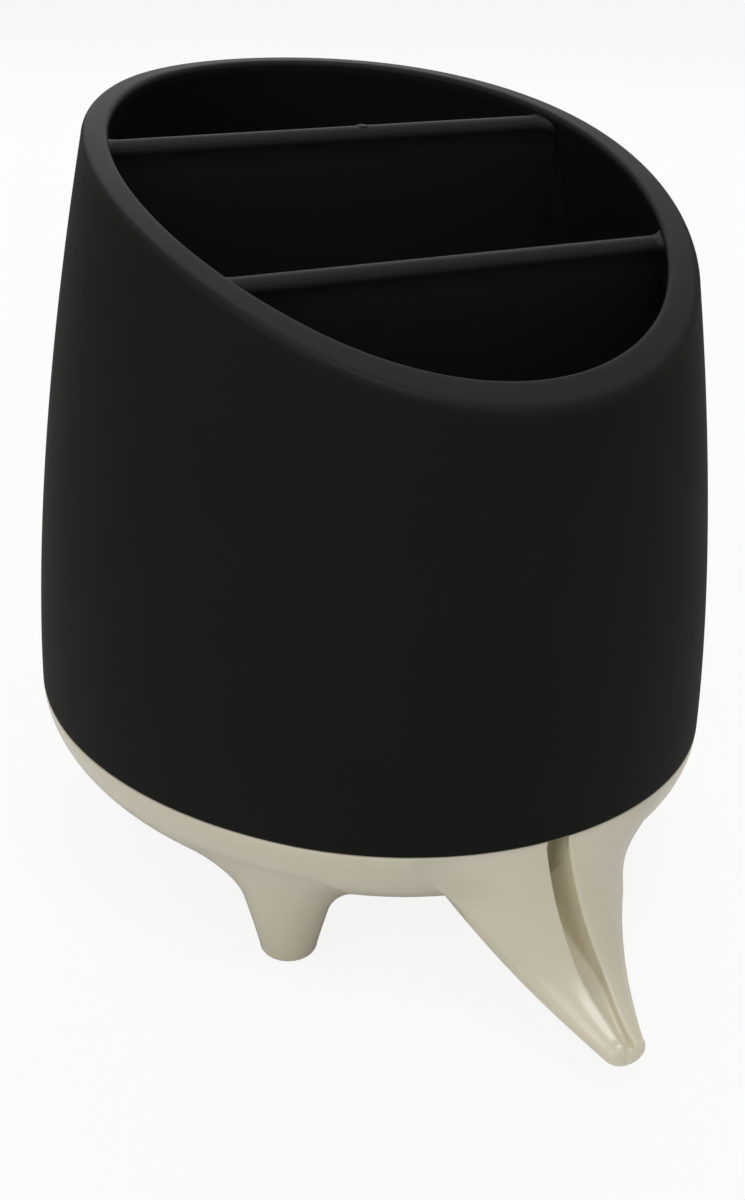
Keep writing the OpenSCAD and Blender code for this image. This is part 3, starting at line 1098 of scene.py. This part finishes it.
        # painted glow growing towards the tip (tone below 0), and painted shade with glow in the channel, full at its
        # root
        tone = np.zeros(both_x.shape)
        tone[root_count:] = -smooth((t - self.tip_glow_from) / (self.nose_at - self.tip_glow_from))
        channel_shade = np.vstack([np.ones((root_count, 1)), np.clip(1 - t / self.channel_shade_to, 0, 1)])
        tone[:, channel_from:ring_x.shape[1] - channel_from] += channel_shade
        shell.grid((both_x, -both_r, both_z), wrap_columns=True, tone=tone)
        for end in (0, -1):
            shell.grid((np.stack([ring_x[end]] * 2), -np.stack([upper_r[end], lower_r[end]]),
                        np.stack([upper_z[end], lower_z[end]])), tone=tone[end, 0])


@dataclass
class DripBase:
    """The base's one moulding: bowl, four legs and spout."""

    bowl: Bowl
    leg: Leg
    spout: Spout
    leg_x: float = 36.0
    leg_y: float = 39.0

    def build(self) -> Piece:
        """Joins the bowl, the legs and the spout in one piece.

        Returns:
            The piece, on the base.
        """
        shell = Shell()
        self.bowl.add(shell, self.spout)
        self.spout.add(shell, self.bowl)
        for x in (-self.leg_x, self.leg_x):
            for y in (-self.leg_y, self.leg_y):
                shell.grid(self.leg.surface(self.bowl, x, y), wrap_columns=True)
        piece = shell.piece("drip_base_moulding")
        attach(piece, Body.BASE.value)
        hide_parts("drip_base")
        return piece


@dataclass(frozen=True)
class Lamp:
    """Square soft lamp that points at the middle of the object, in metres and watts."""

    name: str
    place: Triple
    size: float
    watts: float
    aim: Triple = (0.0, 0.0, 0.08)

    def build(self) -> None:
        """Makes the lamp and turns it to its aim."""
        data = bpy.data.lights.new(self.name, "AREA")
        data.size, data.energy = self.size, self.watts
        lamp = bpy.data.objects.new(self.name, data)
        lamp.location = self.place
        lamp.rotation_mode = "QUATERNION"
        lamp.rotation_quaternion = (Vector(self.aim) - Vector(self.place)).to_track_quat("-Z", "Y")
        bpy.context.scene.collection.objects.link(lamp)


@dataclass
class Studio:
    """Pale floor, soft light and the camera at the photograph's angle."""

    lens: float = 48.645
    sensor: float = 36.0
    clip: tuple[float, float] = (0.01, 20.0)
    place: Triple = (-144.1, -257.95, 196.6)
    aim_azimuth: float = 28.2
    aim_elevation: float = 25.44
    roll: float = 1.67
    floor_half: float = 2.0
    floor_colour: Triple = (0.88, 0.88, 0.87)
    floor_lift: float = 0.88
    world_level: float = 0.4
    lamps: tuple[Lamp, ...] = (
        Lamp("lamp_above", (0.38, 0.82, 0.86), size=1.2, watts=5.0),
        Lamp("lamp_left", (-0.85, -0.35, 0.6), size=0.6, watts=2.1),
        Lamp("lamp_top", (-0.06, -0.42, 1.2), size=0.5, watts=4.2))

    def camera(self) -> None:
        """Makes the camera from its direction, elevation and roll."""
        az, el, roll = (math.radians(v) for v in (self.aim_azimuth, self.aim_elevation, self.roll))
        back = Vector((-math.sin(az) * math.cos(el), -math.cos(az) * math.cos(el), math.sin(el)))
        right = Vector((math.cos(az), -math.sin(az), 0.0))
        up = back.cross(right)
        turned = math.cos(roll) * right + math.sin(roll) * up
        upright = math.cos(roll) * up - math.sin(roll) * right
        data = bpy.data.cameras.new("camera")
        data.lens, data.sensor_width = self.lens, self.sensor
        data.clip_start, data.clip_end = self.clip
        camera = bpy.data.objects.new("camera", data)
        basis = Matrix((turned, upright, back)).transposed().to_4x4()
        camera.matrix_world = Matrix.Translation(Vector(self.place) * MM) @ basis
        bpy.context.scene.collection.objects.link(camera)
        bpy.context.scene.camera = camera

    @staticmethod
    def lifted(tree: Tree, lit: Socket, seen: Socket, share: float) -> Socket:
        """Mixes the seen shader into the lit one by a share, for what the camera sees of it."""
        camera_share = reckon(tree, "MULTIPLY", add_node(tree, "LightPath").outputs["Is Camera Ray"], share)
        return add_node(tree, "MixShader", {0: camera_share, 1: lit, 2: seen}).outputs["Shader"]

    def world(self) -> None:
        """Even light from all round, white where the camera sees it."""
        world = bpy.data.worlds.new("studio")
        world.use_nodes = True
        tree = world.node_tree
        white = (1.0, 1.0, 1.0, 1.0)
        light = feed(tree, tree.nodes["Background"], {"Color": white, "Strength": self.world_level})
        seen = add_node(tree, "Background", {"Color": white})
        mixed = self.lifted(tree, light.outputs["Background"], seen.outputs["Background"], 1.0)
        feed(tree, tree.nodes["World Output"], {"Surface": mixed})
        bpy.context.scene.world = world

    def floor(self) -> None:
        """Pale floor that is lifted towards white where the camera sees it and keeps a soft shadow."""
        half = self.floor_half
        mesh = bpy.data.meshes.new("floor")
        mesh.from_pydata([(-half, -half, 0), (half, -half, 0), (half, half, 0), (-half, half, 0)], [], [(0, 1, 2, 3)])
        floor = bpy.data.objects.new("floor", mesh)
        bpy.context.scene.collection.objects.link(floor)
        pale = bpy.data.materials.new("floor_pale")
        pale.use_nodes = True
        tree = pale.node_tree
        shader = feed(tree, tree.nodes["Principled BSDF"], {
            "Base Color": (*self.floor_colour, 1.0), "Roughness": 1.0, "Specular IOR Level": 0.0})
        glow = add_node(tree, "Emission")
        mixed = self.lifted(tree, shader.outputs["BSDF"], glow.outputs["Emission"], self.floor_lift)
        feed(tree, tree.nodes["Material Output"], {"Surface": mixed})
        mesh.materials.append(pale)

    def build(self) -> None:
        """Sets up the whole studio."""
        bpy.context.scene.view_settings.view_transform = "Standard"
        self.camera()
        self.world()
        self.floor()
        for lamp in self.lamps:
            lamp.build()


# second_colour: the lip's lighter, bluer colour, a painted highlight
CUP_BLACK = MouldedPlastic(
    "cup_black", colour=(0.0085, 0.0085, 0.0072), second_colour=(0.012, 0.0122, 0.013), roughness=0.7,
    second_roughness=0.5, specular=0.08, grain_size=0.5, grain_depth=0.02, mottle=0.08, scuff=0.08, coat=0.065)
# second_colour: the bead tops' lighter colour, a painted highlight
DIVIDER_BLACK = MouldedPlastic(
    "divider_black", colour=(0.009, 0.0088, 0.008), second_colour=(0.017, 0.017, 0.0165), roughness=0.65,
    second_roughness=0.5, specular=0.08, grain_size=0.5, grain_depth=0.015, mottle=0.08, scuff=0.1,
    coat=0.1, coat_roughness=0.5)
FLOOR_BLACK = MouldedPlastic(
    "floor_black", colour=(0.006, 0.006, 0.0055), second_colour=(0.012, 0.012, 0.011), roughness=0.6,
    second_roughness=0.5, specular=0.15, grain_size=0.6, grain_depth=0.02, mottle=0.1, scuff=0.15)
# second_colour: darker, yellower inside and channel, painted shade; glow: strength of the painted glow
BASE_CREAM = MouldedPlastic(
    "base_cream", colour=(0.66, 0.61, 0.485), second_colour=(0.60, 0.55, 0.40), roughness=0.2,
    second_roughness=0.35, specular=0.5, grain_size=1.4, grain_depth=0.004, mottle=0.03, scuff=0.1,
    glow=0.11, subsurface=0.1)


def main() -> None:
    """Builds the drainer piece by piece, dresses it and reports each piece."""
    logging.basicConfig(level=logging.INFO, format="%(message)s")
    Studio().build()
    groups = EffectGroups()
    form = CupForm()
    divider_finish = DIVIDER_BLACK.material(groups)
    base = DripBase(Bowl(form.oval), Leg(), Spout())
    made = [
        (CupWall(form).build(), CUP_BLACK.material(groups), Slot.CUP),
        (Divider(form, "rear_divider", y=18.0, gate_x=5.5).build(), divider_finish, Slot.DIVIDER),
        (Divider(form, "front_divider", y=-29.0).build(), divider_finish, Slot.DIVIDER),
        (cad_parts["strainer_floor"], FLOOR_BLACK.material(groups), Slot.FLOOR),
        (base.build(), BASE_CREAM.material(groups), Slot.BASE),
    ]
    for piece, finish, slot in made:
        piece.data.materials.clear()
        piece.data.materials.append(finish)
        LOG.info("%s: %d faces, %s", piece.name, len(piece.data.polygons), finish.name)


if __name__ == "__main__":
    main()
